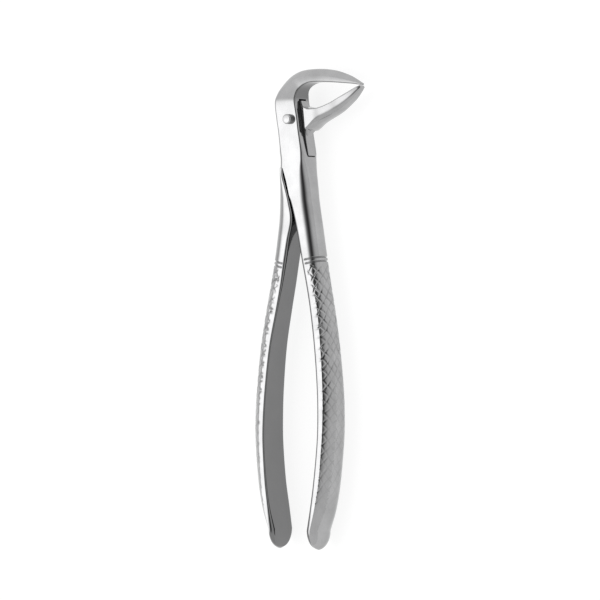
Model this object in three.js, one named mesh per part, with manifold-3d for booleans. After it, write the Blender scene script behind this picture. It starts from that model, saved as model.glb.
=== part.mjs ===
// Lower-root extraction forceps with a through box joint, lying flat on its side.
// Units are millimetres. The pivot axis is Z, with its lower end at the origin. The handles run
// along -Y and the beaks point along +X. The tool is symmetric about the middle plane of its joint.
import * as THREE from 'three';
import { mergeVertices } from 'three/addons/utils/BufferGeometryUtils.js';
import Module from 'manifold-3d';

const wasm = await Module();
wasm.setup();

// ---------------------------------------------------------------- driving dimensions

const JOINT_HALF = 4.7;         // half the thickness of the joint and of both shanks
const HANDLE_HALF = 6.6;        // half the width of a handle at its widest
const MID_PLANE = HANDLE_HALF;  // height of the middle plane above the surface it lies on
const SLOT_HALF = 2.25;         // half the height of the slot through the box arm
const TONGUE_HALF = 2.1;        // half the thickness of the tongue that runs in it
const WEB_HALF = 1.1;           // half the thickness of the full part of the web under the beak
const SLOT_TOP_R = 7.5;         // radius of the slot's upper wall about the pivot
const SLOT_FOOT_R = 14.65;      // radius of its lower wall
const LEDGE_R = 17.5;           // radius of the ledge under which the tongue arm's shank starts
const SLIDE_GAP = 0.25;         // clearance between the tongue and the slot's end walls
const RIVET_R = 1.75;
const RIVET_EDGE = 0.5;         // rounding of the rivet's two ends
const BOX_BORE_R = RIVET_R + 0.04;
const TONGUE_BORE_R = RIVET_R + 0.08;
const GROOVE_DEPTH = 0.45;      // of the two grooves round each arm above the hatching
const GROOVE_HALF = 0.45;       // half the width of one groove
const BOX_GROOVES = [-49.4, -50.8];
const TONGUE_GROOVES = [-50.7, -52.1];
const NOSE_Y = -145.4;          // where the round handle end starts
const NOSE_STEPS = 5;
const SIDE_POINTS = 8;          // facets across one side of a section
const SAMPLES = 2;              // rings between two stations
const ROUND_POWER = 3;          // superellipse power of a softly rounded side
const FACE_POWER = 8;           // the same for a flat side with a small edge radius
const ROUND_SEGMENTS = 32;

// ---------------------------------------------------------------- stations along each arm

// Each row is a section across the arm, looking along it with the handle end behind:
// place along the arm, left edge x y, right edge x y, half width, rise of the left side, rise of
// the right side, and how far the convex side is a plain arc (1) or a soft round (0).
const BOX_HANDLE = [
  [-145.4, 8.15, -145.2, 12.9, -145.8, 6.5, 1.3, 2.9, 1],
  [-138, 9.8, -137.7, 15.6, -138.5, 6.6, 0.8, 3.6, 1],
  [-128.5, 11.2, -128.3, 17.55, -129.0, 6.45, 0.7, 4.2, 1],
  [-116, 12.5, -115.9, 19.1, -116.2, 6.3, 0.7, 4.5, 1],
  [-108, 12.8, -108.0, 19.6, -108.0, 6.15, 0.7, 4.7, 1],
  [-96, 12.4, -96.2, 19.3, -95.8, 5.8, 0.7, 4.7, 1],
  [-80, 10.8, -80.5, 17.6, -79.5, 5.35, 0.7, 4.5, 1],
  [-66, 8.55, -66.6, 15.4, -65.3, 4.85, 0.7, 4.6, 1],
  [-57, 6.75, -57.6, 13.6, -56.3, 4.7, 0.7, 4.6, 0.5],
  [-49, 5.0, -49.6, 12.0, -48.3, 4.7, 0.7, 4.7, 0],
  [-39, 3.0, -39.4, 10.4, -38.5, 4.7, 0.6, 5.0, 0],
  [-29, 0.5, -29.2, 8.75, -28.8, 4.7, 0.5, 4.9, 0],
  [-25, -1.7, -25.0, 8.3, -24.9, 4.7, 0.6, 4.6, 0],
  [-21.5, -3.8, -21.5, 7.8, -21.4, 4.7, 1.0, 4.2, 0],
  [-18, -4.3, -18.0, 7.25, -17.9, 4.7, 1.5, 3.1, 0],
  [-14.5, -4.3, -14.5, 6.65, -14.4, 4.7, 1.5, 2.2, 0],
  [-11, -4.8, -11.0, 5.8, -10.9, 4.7, 1.5, 1.0, 0],
  [-8, -5.3, -8.0, 5.1, -7.9, 4.7, 1.5, 0.6, 0],
];
const BOX_HEAD = [
  [-4, -5.8, -4.0, 4.35, -4.0, 4.7, 1.5, 0.5, 0],
  [0, -6.5, 0.0, 3.8, 0.0, 4.7, 1.5, 0.5, 0],
  [6.3, -7.25, 6.4, 2.6, 6.2, 4.7, 1.6, 0.5, 0],
  [9.5, -6.6, 9.7, 2.45, 8.0, 4.25, 2.0, 0.5, 0.2],
  [12.5, -4.9, 12.6, 2.7, 9.6, 3.7, 2.3, 0.6, 0.5],
  [15.5, -2.3, 15.1, 3.5, 10.9, 3.45, 2.5, 0.6, 0.8],
  [18.5, 0.7, 16.7, 5.0, 12.0, 3.35, 2.6, 0.6, 1],
  [22, 4.1, 17.5, 7.2, 12.8, 3.25, 2.6, 0.6, 1],
  [27, 9.1, 17.7, 9.8, 13.0, 3.1, 2.6, 0.6, 1],
  [31, 13.4, 17.45, 13.4, 12.85, 2.85, 2.5, 0.5, 1],
  [35.5, 17.9, 16.7, 17.2, 12.6, 2.55, 2.3, 0.5, 1],
  [40.5, 22.9, 15.05, 21.7, 12.2, 2.15, 1.7, 0.4, 1],
  [44.5, 26.1, 13.45, 25.1, 11.85, 1.75, 1.0, 0.3, 1],
  [47, 28.2, 12.15, 27.8, 11.5, 1.35, 0.3, 0.2, 1],
];
const TONGUE_HANDLE = [
  [-145.4, -10.3, -145.8, -5.75, -145.2, 6.5, 2.9, 1.3, 1],
  [-138, -13.1, -138.5, -7.35, -137.7, 6.6, 3.6, 0.8, 1],
  [-128.5, -15.2, -129.0, -8.85, -128.3, 6.45, 4.2, 0.7, 1],
  [-116, -16.5, -116.2, -9.9, -115.9, 6.3, 4.5, 0.7, 1],
  [-108, -16.8, -108.0, -10.0, -108.0, 6.15, 4.7, 0.7, 1],
  [-96, -16.2, -95.8, -9.4, -96.2, 5.8, 4.7, 0.7, 1],
  [-80, -14.4, -79.5, -7.7, -80.5, 5.35, 4.5, 0.7, 1],
  [-66, -11.8, -65.3, -4.9, -66.6, 4.85, 4.6, 0.7, 1],
  [-58, -9.85, -57.3, -3.15, -58.6, 4.7, 4.6, 0.7, 0.5],
  [-50, -8.0, -49.3, -1.65, -50.6, 4.7, 4.5, 0.7, 0],
  [-42.5, -6.9, -42.2, -0.3, -42.7, 4.7, 4.3, 0.6, 0],
  [-35.5, -6.0, -35.5, 0.55, -35.5, 4.7, 4.0, 0.5, 0],
  [-28.5, -5.6, -28.5, -0.7, -28.5, 4.7, 3.6, 0.3, 0],
  [-24, -5.3, -24.0, -1.9, -24.0, 4.7, 2.7, 0.3, 0],
  [-20, -5.15, -20.0, -2.65, -20.0, 4.7, 2.1, 0.3, 0],
  [-16, -5.05, -16.0, -2.95, -16.0, 4.7, 1.7, 0.3, 0],
];
const LOWER_BEAK = [
  [0, 6.1, 4.1, 6.9, -4.1, 4.65, 0.6, 0.5, 1],
  [2.5, 7.8, 3.65, 8.4, -3.2, 4.6, 0.5, 0.6, 1],
  [5, 9.8, 3.6, 10.5, -1.9, 4.4, 0.4, 0.8, 1],
  [8, 12.1, 3.9, 13.3, -0.8, 4.0, 0.4, 1.0, 1],
  [12, 16.0, 5.3, 17.6, 1.15, 3.4, 0.4, 1.2, 1],
  [15.5, 18.6, 6.65, 20.6, 2.85, 2.95, 0.4, 1.3, 1],
  [20.5, 23.2, 9.0, 25.0, 6.2, 2.3, 0.4, 1.3, 1],
  [24.5, 26.4, 10.7, 27.6, 9.1, 1.75, 0.3, 0.9, 1],
  [26.5, 27.8, 11.15, 28.4, 10.4, 1.35, 0.2, 0.3, 1],
];

// ---------------------------------------------------------------- sections and lofts

const lerp = THREE.MathUtils.lerp;

// One side of a section from its top edge to its bottom edge, as [outward, up] pairs. The outward
// value is counted from the chord that joins the two edges.
function sideProfile(rise, half, power, arc) {
  const radius = (half * half + rise * rise) / (2 * rise);
  const sweep = Math.asin(Math.min(1, half / radius));
  const points = [];
  for (let i = 0; i <= SIDE_POINTS; i += 1) {
    const t = 1 - (2 * i) / SIDE_POINTS;
    const angle = (t * Math.PI) / 2;
    const soft = [
      rise * Math.abs(Math.cos(angle)) ** (2 / power),
      half * Math.sign(t) * Math.abs(Math.sin(angle)) ** (2 / power),
    ];
    const plain = [radius * Math.cos(t * sweep) - radius + rise, half * Math.sin(t * sweep) / Math.sin(sweep)];
    points.push([lerp(soft[0], plain[0], arc), lerp(soft[1], plain[1], arc)]);
  }
  return points;
}

// A closed ring of points for one station. The side with the larger rise is the convex one.
function sectionRing(row) {
  const [, leftX, leftY, rightX, rightY, half, leftRise, rightRise, arc] = row;
  const width = Math.hypot(rightX - leftX, rightY - leftY);
  const along = [(rightX - leftX) / width, (rightY - leftY) / width];
  const leftIsRound = leftRise > rightRise;
  const left = sideProfile(leftRise, half, leftIsRound ? ROUND_POWER : FACE_POWER, leftIsRound ? arc : 0);
  const right = sideProfile(rightRise, half, leftIsRound ? FACE_POWER : ROUND_POWER, leftIsRound ? 0 : arc);
  const place = (across, up) => [leftX + along[0] * across, leftY + along[1] * across, up];
  return [
    ...right.map(([out, up]) => place(width - rightRise + out, up)),
    ...left.reverse().map(([out, up]) => place(leftRise - out, up)),
  ];
}

// Smooth values between the rows: a cubic through them, with slopes from their neighbours.
function interpolate(rows, at) {
  let i = 0;
  while (i < rows.length - 2 && at > rows[i + 1][0]) i += 1;
  const span = rows[i + 1][0] - rows[i][0];
  const t = (at - rows[i][0]) / span;
  const slope = (k, column) => {
    const before = rows[Math.max(k - 1, 0)];
    const after = rows[Math.min(k + 1, rows.length - 1)];
    return (after[column] - before[column]) / (after[0] - before[0]);
  };
  return rows[i].map((value, column) => {
    if (column === 0) return at;
    const t2 = t * t;
    const t3 = t2 * t;
    return (2 * t3 - 3 * t2 + 1) * value + (t3 - 2 * t2 + t) * span * slope(i, column)
      + (3 * t2 - 2 * t3) * rows[i + 1][column] + (t3 - t2) * span * slope(i + 1, column);
  });
}

// The places of the rings: SAMPLES of them between two rows, and three more across each groove.
function ringPlaces(rows, grooves) {
  const places = [rows[0][0]];
  for (let i = 1; i < rows.length; i += 1) {
    for (let k = 1; k <= SAMPLES; k += 1) {
      places.push(lerp(rows[i - 1][0], rows[i][0], k / SAMPLES));
    }
  }
  const clear = places.filter((at) => grooves.every((groove) => Math.abs(at - groove) > GROOVE_HALF + 0.2));
  grooves.forEach((groove) => clear.push(groove - GROOVE_HALF, groove, groove + GROOVE_HALF));
  return clear.sort((a, b) => a - b);
}

function armStations(rows, grooves = []) {
  return ringPlaces(rows, grooves).map((at) => {
    const row = interpolate(rows, at);
    if (grooves.includes(at)) {
      // the groove is cut into the convex side only, and dies out at the flat edges
      const round = row[6] > row[7] ? 6 : 7;
      const edge = round === 6 ? 1 : 3;
      row[round] -= GROOVE_DEPTH;
      row[edge] += (round === 6 ? 1 : -1) * GROOVE_DEPTH;
    }
    return row;
  });
}

// The handle's full-round end: a quarter circle in side view, closing in towards the inner face.
function noseStations(first) {
  const [, leftX, leftY, rightX, rightY, half, leftRise, rightRise] = first;
  const innerX = leftRise > rightRise ? rightX : leftX;
  const outerX = leftRise > rightRise ? leftX : rightX;
  const tipX = lerp(innerX, outerX, 0.16);
  const stations = [];
  for (let i = NOSE_STEPS; i >= 1; i -= 1) {
    const angle = (i / NOSE_STEPS) * THREE.MathUtils.degToRad(82);
    const shrink = Math.cos(angle);
    const toX = (x) => lerp(tipX, x, shrink ** 0.85);
    const down = HANDLE_HALF * Math.sin(angle);
    stations.push([
      NOSE_Y - down, toX(leftX), leftY - down, toX(rightX), rightY - down,
      half * shrink, leftRise * shrink, rightRise * shrink, 1,
    ]);
  }
  return stations;
}

// A closed solid through rings of equal length, with a fan on each end.
function loft(stations) {
  const rings = stations.map(sectionRing);
  const count = rings[0].length;
  const positions = rings.flat(2);
  const index = [];
  for (let s = 0; s + 1 < rings.length; s += 1) {
    for (let i = 0; i < count; i += 1) {
      const a = s * count + i;
      const b = s * count + ((i + 1) % count);
      index.push(a, b, a + count, b, b + count, a + count);
    }
  }
  const last = (rings.length - 1) * count;
  for (let i = 1; i + 1 < count; i += 1) {
    index.push(0, i + 1, i);
    index.push(last, last + i, last + i + 1);
  }
  const geometry = new THREE.BufferGeometry();
  geometry.setAttribute('position', new THREE.Float32BufferAttribute(positions, 3));
  geometry.setIndex(index);
  return geometry;
}

// ---------------------------------------------------------------- solids

function toSolid(geometry) {
  geometry.deleteAttribute('normal');
  geometry.deleteAttribute('uv');
  const merged = mergeVertices(geometry, 1e-5);
  return new wasm.Manifold(new wasm.Mesh({
    numProp: 3,
    vertProperties: Float32Array.from(merged.getAttribute('position').array),
    triVerts: Uint32Array.from(merged.getIndex().array),
  }));
}

function toGeometry(solid) {
  const mesh = solid.getMesh();
  const geometry = new THREE.BufferGeometry();
  geometry.setAttribute('position', new THREE.Float32BufferAttribute(mesh.vertProperties, 3));
  geometry.setIndex(Array.from(mesh.triVerts));
  geometry.computeVertexNormals();
  return geometry;
}

// A flat outline extruded to the same height above and below the middle plane.
function plate(shape, half, curveSegments = ROUND_SEGMENTS) {
  const geometry = new THREE.ExtrudeGeometry(shape, { depth: 2 * half, bevelEnabled: false, curveSegments });
  geometry.translate(0, 0, -half);
  return toSolid(geometry);
}

function disc(radius, half) {
  const geometry = new THREE.CylinderGeometry(radius, radius, 2 * half, ROUND_SEGMENTS);
  geometry.rotateX(Math.PI / 2);
  return toSolid(geometry);
}

// Where a circle about the pivot crosses a given x (upper half) or a given y (right half).
const heightAt = (radius, x) => Math.sqrt(radius * radius - x * x);
const polar = (x, y) => Math.atan2(y, x);

function circleShape(radius) {
  const shape = new THREE.Shape();
  shape.absarc(0, 0, radius, 0, 2 * Math.PI, false);
  return shape;
}

// The slot that runs right through the box arm, open on both of its sides.
function slotShape() {
  const right = 12;
  const left = -12;
  const topRight = [2.0, heightAt(SLOT_TOP_R, 2.0)];
  const topLeft = [-heightAt(SLOT_TOP_R, 4.75), 4.75];
  const footRight = [6.0, -heightAt(SLOT_FOOT_R, 6.0)];
  const footLeft = [-1.0, -heightAt(SLOT_FOOT_R, 1.0)];
  const shape = new THREE.Shape();
  shape.moveTo(right, topRight[1]);
  shape.lineTo(...topRight);
  shape.absarc(0, 0, SLOT_TOP_R, polar(...topRight), polar(...topLeft), false);
  shape.lineTo(left, topLeft[1]);
  shape.lineTo(left, -20);
  shape.lineTo(-3.3, -20);
  shape.lineTo(...footLeft);
  shape.absarc(0, 0, SLOT_FOOT_R, polar(...footLeft), polar(...footRight), false);
  shape.lineTo(right, footRight[1]);
  shape.closePath();
  return shape;
}

// The tongue: its ends follow the slot's end walls with a running gap.
function tongueShape() {
  const topR = SLOT_TOP_R - SLIDE_GAP;
  const footR = SLOT_FOOT_R - SLIDE_GAP;
  const topRight = [1.8, heightAt(topR, 1.8)];
  const topLeft = [-5.3, heightAt(topR, 5.3)];
  const footRight = [6.0, -heightAt(footR, 6.0)];
  const footLeft = [-1.2, -heightAt(footR, 1.2)];
  const shape = new THREE.Shape();
  shape.moveTo(8.2, 3.4);
  shape.lineTo(4.9, 4.3);
  shape.lineTo(4.1, 5.3);
  shape.lineTo(3.6, 6.5);
  shape.lineTo(...topRight);
  shape.absarc(0, 0, topR, polar(...topRight), polar(...topLeft), false);
  shape.lineTo(-5.0, -4);
  shape.lineTo(-4.4, -12);
  shape.lineTo(-4.3, -19.6);
  shape.lineTo(-3.6, -19.6);
  shape.lineTo(...footLeft);
  shape.absarc(0, 0, footR, polar(...footLeft), polar(...footRight), false);
  shape.lineTo(6.7, footRight[1] + 0.15);
  shape.lineTo(6.1, -10.4);
  shape.lineTo(5.2, -6.4);
  shape.lineTo(5.3, -4.8);
  shape.lineTo(6.1, -3.5);
  shape.lineTo(7.0, -2.6);
  shape.lineTo(8.2, -2.4);
  shape.closePath();
  return shape;
}

// The space beside the box arm that the tongue arm's full-width shank needs. Its upper end is an
// arc about the pivot, so the shank turns away from the ledge above it without touching.
function shankSpace(ledgeRadius) {
  const edge = [[-2.45, -18.2], [-1.35, -21.5], [-0.45, -25], [0.45, -28.6], [-14, -28.6]];
  const corner = [-2.75, -heightAt(ledgeRadius, 2.75)];
  const shape = new THREE.Shape();
  shape.moveTo(-14, -heightAt(ledgeRadius, 14));
  shape.absarc(0, 0, ledgeRadius, polar(-14, -heightAt(ledgeRadius, 14)), polar(...corner), false);
  edge.forEach(([x, y]) => shape.lineTo(x, y));
  shape.closePath();
  return shape;
}

// A closed solid through outlines of equal length, each at its own height. Each outline is seen
// whole from its first point.
function stack(levels) {
  const count = levels[0][0].length;
  const positions = levels.flatMap(([outline, z]) => outline.flatMap(([x, y]) => [x, y, z]));
  const index = [];
  for (let level = 0; level + 1 < levels.length; level += 1) {
    for (let i = 0; i < count; i += 1) {
      const a = level * count + i;
      const b = level * count + ((i + 1) % count);
      index.push(a, b, a + count, b, b + count, a + count);
    }
  }
  const top = (levels.length - 1) * count;
  for (let i = 1; i + 1 < count; i += 1) {
    index.push(0, i + 1, i);
    index.push(top, top + i, top + i + 1);
  }
  const geometry = new THREE.BufferGeometry();
  geometry.setAttribute('position', new THREE.Float32BufferAttribute(positions, 3));
  geometry.setIndex(index);
  return toSolid(geometry);
}

// The shoulder that brings the tongue out to the beak's full width. Its lower face leans, and
// stays clear of the cheeks' edges until the joint is fully open.
function beakRoot() {
  const wide = [[6.1, 3.9], [6.8, -2.4], [7.6, -2.4], [8.4, 3.2]];
  const narrow = [[4.6, 4.6], [6.35, -3.0], [8.4, -2.9], [8.4, 3.2]];
  const full = LOWER_BEAK[0][5];
  return stack([[wide, -full], [narrow, -SLOT_HALF], [narrow, SLOT_HALF], [wide, full]]);
}

// The thicker middle of the web between the tongue's right side and the beak.
function beakWeb() {
  const face = [[6.0, -3.5], [7.6, -2.4], [5.0, -2.4], [5.0, -6.2]];
  const middle = [[6.5, -4.9], [8.4, -3.1], [5.0, -2.4], [5.0, -6.9]];
  const outer = TONGUE_HALF - 0.1;
  return stack([[face, -outer], [middle, -WEB_HALF], [middle, WEB_HALF], [face, outer]]);
}

function boxArm() {
  const handle = armStations(BOX_HANDLE, BOX_GROOVES);
  const head = armStations([BOX_HANDLE.at(-1), ...BOX_HEAD]).slice(1);
  const arm = toSolid(loft([...noseStations(handle[0]), ...handle, ...head]));
  return arm
    .subtract(plate(slotShape(), SLOT_HALF))
    .subtract(plate(shankSpace(LEDGE_R), 2 * JOINT_HALF))
    .subtract(disc(BOX_BORE_R, 2 * JOINT_HALF));
}

function tongueArm() {
  const handle = armStations(TONGUE_HANDLE, TONGUE_GROOVES);
  return toSolid(loft([...noseStations(handle[0]), ...handle]))
    .subtract(plate(circleShape(LEDGE_R + SLIDE_GAP), 2 * JOINT_HALF))
    .add(plate(tongueShape(), TONGUE_HALF))
    .add(beakRoot())
    .add(beakWeb())
    .add(toSolid(loft(armStations(LOWER_BEAK))))
    .subtract(disc(TONGUE_BORE_R, 2 * JOINT_HALF));
}

// A pin with both ends standing proud of the cheeks, each with a rounded edge and a flat face.
function pivotRivet() {
  const profile = [new THREE.Vector2(0, -MID_PLANE)];
  const corner = (sign) => {
    for (let i = 0; i <= 4; i += 1) {
      const angle = ((sign < 0 ? i : 4 - i) / 4) * (Math.PI / 2);
      profile.push(new THREE.Vector2(
        RIVET_R - RIVET_EDGE + RIVET_EDGE * Math.sin(angle),
        sign * (MID_PLANE - RIVET_EDGE + RIVET_EDGE * Math.cos(angle)),
      ));
    }
  };
  corner(-1);
  corner(1);
  profile.push(new THREE.Vector2(0, MID_PLANE));
  const geometry = new THREE.LatheGeometry(profile, ROUND_SEGMENTS);
  geometry.rotateX(Math.PI / 2);
  return toSolid(geometry);
}

// ---------------------------------------------------------------- assembly

const satinSteel = () => new THREE.MeshStandardMaterial({ color: 0xb9bcbf, roughness: 0.35, metalness: 1 });
const brightSteel = () => new THREE.MeshStandardMaterial({ color: 0xd6d8da, roughness: 0.2, metalness: 1 });

function named(name, solid, material) {
  const mesh = new THREE.Mesh(toGeometry(solid), material);
  mesh.name = name;
  return mesh;
}

const forceps = new THREE.Group();
forceps.position.z = MID_PLANE;
forceps.add(named('box_arm', boxArm(), satinSteel()));
forceps.add(named('tongue_arm', tongueArm(), satinSteel()));
forceps.add(named('pivot_rivet', pivotRivet(), brightSteel()));

export default forceps;
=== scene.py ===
import math

import bpy
import numpy as np
from bpy.props import FloatProperty, FloatVectorProperty, IntProperty, PointerProperty
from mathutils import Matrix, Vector


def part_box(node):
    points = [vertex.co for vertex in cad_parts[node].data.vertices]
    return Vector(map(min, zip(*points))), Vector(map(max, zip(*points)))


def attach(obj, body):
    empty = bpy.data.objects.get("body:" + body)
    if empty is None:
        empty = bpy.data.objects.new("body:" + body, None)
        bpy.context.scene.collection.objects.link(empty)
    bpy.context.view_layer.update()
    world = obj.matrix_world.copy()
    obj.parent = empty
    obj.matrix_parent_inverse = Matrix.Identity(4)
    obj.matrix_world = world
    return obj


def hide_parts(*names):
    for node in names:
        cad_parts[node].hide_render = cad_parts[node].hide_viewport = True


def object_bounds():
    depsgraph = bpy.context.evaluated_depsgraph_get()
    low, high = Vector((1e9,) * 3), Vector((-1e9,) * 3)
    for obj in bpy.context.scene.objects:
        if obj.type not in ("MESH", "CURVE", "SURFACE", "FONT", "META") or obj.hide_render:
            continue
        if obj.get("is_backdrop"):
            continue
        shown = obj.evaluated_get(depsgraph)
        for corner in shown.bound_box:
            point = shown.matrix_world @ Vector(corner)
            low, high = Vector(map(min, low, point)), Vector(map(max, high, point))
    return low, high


bl_info = {
    "name": "Extraction Forceps",
    "version": (1, 0, 0),
    "blender": (4, 5, 0),
    "location": "View3D > Sidebar > Forceps",
    "description": "Builds the arms and the rivet of a pair of box-joint extraction forceps",
    "category": "Add Mesh",
}

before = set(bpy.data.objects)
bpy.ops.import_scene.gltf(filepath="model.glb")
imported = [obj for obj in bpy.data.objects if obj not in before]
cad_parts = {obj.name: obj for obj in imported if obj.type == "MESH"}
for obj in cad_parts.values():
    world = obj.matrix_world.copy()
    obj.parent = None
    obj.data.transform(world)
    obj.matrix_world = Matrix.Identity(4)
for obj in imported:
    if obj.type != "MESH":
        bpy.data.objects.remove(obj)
CAD_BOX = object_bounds()
RIVET_LOW, RIVET_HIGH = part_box("pivot_rivet")
MM = 0.001
MID = (RIVET_LOW.z + RIVET_HIGH.z) / 2

# ---------------------------------------------------------------- shapes of the arms

HANDLE_HALF = 6.6
RIVET_R = (RIVET_HIGH.x - RIVET_LOW.x) / 2 / MM

# the joint: heights of the slot and the tongue, distances of their end walls from the pivot, gaps
SLOT_HALF = 2.25
TONGUE_HALF = 2.1
SLOT_TOP_R = 7.5
SLOT_FOOT_R = 14.65
LEDGE_R = 17.5
LEDGE_GAP = 0.12
SLIDE_GAP = 0.2
BORE_GAP = 0.04

# solids that cut right through an arm: half height, reach past its sides, sides of a round one
CUTTER_HALF = 9.4
CUTTER_REACH = 12
ROUND_SIDES = 96

# where the two grooves round each arm lie, and the harder hatching of the tongue arm
BOX_RING = -49.4
TONGUE_RING = -50.7
RING_GAP = 1.4
TONGUE_BITE = 1.5

# the handles' rounded ends: where they start, how far they turn, and where across they close
NOSE_Y = -145.4
NOSE_TURN = 82
NOSE_CLOSE = 0.16
NOSE_POWER = 0.85

# sections: points round the convex side, the other side and a flat one, and the bulges' powers
CONVEX_POINTS = 72
PLAIN_POINTS = 30
FACE_POINTS = 6
ROUND_POWER = 2.5
CROWN_POWER = 1.5
STRIP_MARGIN = 0.14
EDGE_SHARE = 0.75
EDGE_FADE = 0.6

# edges that turn by more than this many degrees stay crisp
ARM_CREASE = 32
RIVET_CREASE = 40

# The studio's light round the tool's length: bearing in degrees from straight up, positive to the
# right, and share of the softbox's brightness.
STUDIO = [
    (-179, 0.4),
    (-80, 0.38),
    (-66, 0.29),
    (-58, 0.42),
    (-48, 0.9),
    (-42, 1.0),
    (-22, 1.0),
    (-17, 0.82),
    (-11, 0.48),
    (-5, 0.2),
    (2, 0.07),
    (10, 0.025),
    (18, 0.025),
    (26, 0.08),
    (35, 0.2),
    (47, 0.31),
    (60, 0.37),
    (179, 0.385),
]

# Stations along each arm: place, left edge x y, right edge x y, half width, rise of the left
# side, rise of the right side, and how far the convex side is a plain arc (1) or softly round (0).
BOX_HANDLE = [
    (-145.4, 8.15, -145.2, 12.9, -145.8, 6.5, 1.6, 2.9, 1),
    (-138, 9.8, -137.7, 15.6, -138.5, 6.6, 1.1, 3.6, 1),
    (-128.5, 11.2, -128.3, 17.55, -129.0, 6.45, 0.9, 3.8, 1),
    (-116, 12.5, -115.9, 19.1, -116.2, 6.3, 0.8, 4.2, 1),
    (-108, 12.8, -108.0, 19.6, -108.0, 6.15, 0.8, 4.3, 1),
    (-96, 12.4, -96.2, 19.3, -95.8, 5.8, 0.8, 4.2, 1),
    (-80, 10.8, -80.5, 17.6, -79.5, 5.35, 0.9, 3.8, 1),
    (-66, 8.55, -66.6, 15.4, -65.3, 4.85, 1.0, 3.6, 1),
    (-57, 6.75, -57.6, 13.6, -56.3, 4.7, 1.0, 4.4, 0.6),
    (-49, 5.0, -49.6, 12.0, -48.3, 4.7, 1.0, 5.2, 0.1),
    (-39, 3.0, -39.4, 10.4, -38.5, 4.7, 0.9, 5.7, 0),
    (-29, 0.5, -29.2, 8.75, -28.8, 4.7, 0.7, 5.7, 0),
    (-25, -1.7, -25.0, 8.3, -24.9, 4.7, 0.7, 5.4, 0),
    (-21.5, -3.8, -21.5, 7.8, -21.4, 4.7, 1.0, 4.8, 0),
    (-18, -4.3, -18.0, 7.25, -17.9, 4.7, 1.4, 3.8, 0),
    (-14.5, -4.3, -14.5, 6.65, -14.4, 4.7, 1.5, 2.3, 0),
    (-11, -4.8, -11.0, 5.8, -10.9, 4.7, 1.55, 1.35, 0),
    (-8, -5.3, -8.0, 5.1, -7.9, 4.7, 1.6, 1.0, 0),
]
# The head has one more column: how far its front and back fall away towards the outer side.
BOX_HEAD = [
    (-8, -5.3, -8.0, 5.1, -7.9, 4.7, 1.6, 1.0, 0, 0),
    (-4, -5.8, -4.0, 4.35, -4.0, 4.7, 1.6, 0.9, 0, 0),
    (0, -6.5, 0.0, 3.8, 0.0, 4.7, 1.6, 0.9, 0, 0),
    (6.3, -7.25, 6.4, 2.6, 6.2, 4.66, 1.6, 0.8, 0, 0.02),
    (9.5, -6.6, 9.7, 2.45, 8.0, 4.35, 2.0, 0.55, 0.2, 0.14),
    (12.5, -4.9, 12.6, 2.7, 9.6, 3.95, 2.3, 0.45, 0.5, 0.28),
    (15.5, -2.3, 15.1, 3.5, 10.9, 3.6, 2.5, 0.4, 0.8, 0.32),
    (18.5, 0.7, 16.7, 5.0, 12.0, 3.45, 2.6, 0.35, 1, 0.32),
    (22, 4.1, 17.5, 7.2, 12.8, 3.3, 2.6, 0.3, 1, 0.3),
    (27, 9.1, 17.7, 9.8, 13.0, 3.15, 2.6, 0.3, 1, 0.3),
    (31, 13.4, 17.45, 13.4, 12.85, 2.9, 2.5, 0.3, 1, 0.3),
    (35.5, 17.9, 16.7, 17.2, 12.6, 2.6, 2.3, 0.3, 1, 0.3),
    (40.5, 22.9, 15.05, 21.7, 12.2, 2.15, 1.7, 0.3, 1, 0.28),
    (44.5, 26.1, 13.45, 25.1, 11.85, 1.75, 1.0, 0.3, 1, 0.2),
    (47, 28.2, 12.15, 27.8, 11.43, 1.35, 0.3, 0.2, 1, 0.1),
]
TONGUE_HANDLE = [
    (-145.4, -10.3, -145.8, -5.75, -145.2, 6.5, 2.9, 1.6, 1),
    (-138, -13.1, -138.5, -7.35, -137.7, 6.6, 3.6, 0.8, 1),
    (-128.5, -15.2, -129.0, -8.85, -128.3, 6.45, 4.2, 0.6, 1),
    (-116, -16.5, -116.2, -9.9, -115.9, 6.3, 4.5, 0.5, 1),
    (-108, -16.8, -108.0, -10.0, -108.0, 6.15, 4.6, 0.5, 1),
    (-96, -16.2, -95.8, -9.4, -96.2, 5.8, 4.5, 0.5, 1),
    (-80, -14.4, -79.5, -7.7, -80.5, 5.35, 4.4, 0.5, 1),
    (-66, -11.8, -65.3, -4.9, -66.6, 4.85, 4.4, 0.6, 1),
    (-58, -9.85, -57.3, -3.15, -58.6, 4.7, 4.8, 0.8, 0.5),
    (-50, -8.0, -49.3, -1.65, -50.6, 4.7, 4.9, 1.0, 0),
    (-42.5, -6.9, -42.2, -0.3, -42.7, 4.7, 5.0, 0.9, 0),
    (-35.5, -6.0, -35.5, 1.1, -35.5, 4.7, 4.9, 0.8, 0),
    (-28.5, -5.6, -28.5, -0.3, -28.5, 4.7, 4.2, 0.7, 0),
    (-24, -5.3, -24.0, -1.6, -24.0, 4.7, 2.9, 0.7, 0),
    (-20, -4.95, -20.0, -2.75, -20.0, 4.7, 1.5, 0.7, 0),
    (-16, -4.7, -16.0, -3.0, -16.0, 4.7, 1.0, 0.3, 0),
]
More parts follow.
